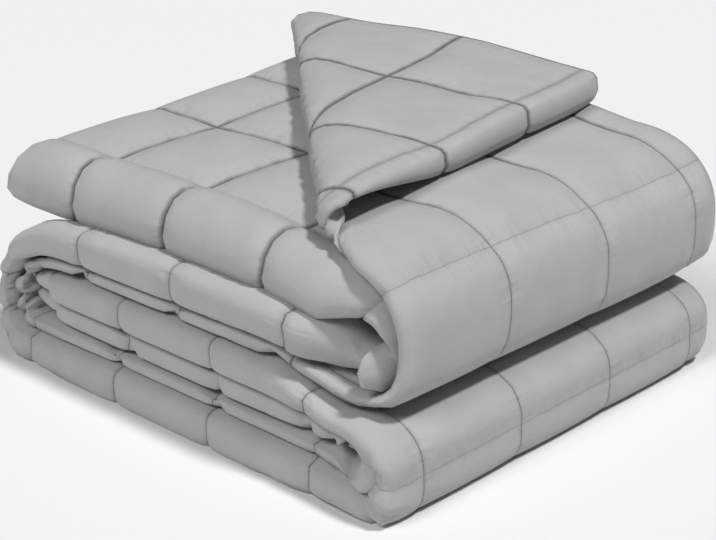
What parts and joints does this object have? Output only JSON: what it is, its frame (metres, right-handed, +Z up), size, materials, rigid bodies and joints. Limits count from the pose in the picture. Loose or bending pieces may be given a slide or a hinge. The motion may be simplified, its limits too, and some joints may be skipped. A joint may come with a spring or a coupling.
{
  "type": "folded weighted blanket",
  "caption": "Weighted blanket quilted in squares, folded into a thick rectangular block with one corner turned back over the top.",
  "frame": {"origin": "middle of the underside of the folded block, on the surface that it lies on", "axes": "+X along the long side of the block towards the round double turn, +Y from the open folded front to the back, +Z up"},
  "size_m": [0.5321, 0.4518, 0.2591],
  "materials": {
    "blanket_cloth": "matte"
  },
  "bodies": {
    "root": {"folded_blanket": "blanket_cloth"}
  },
  "joints": []
}
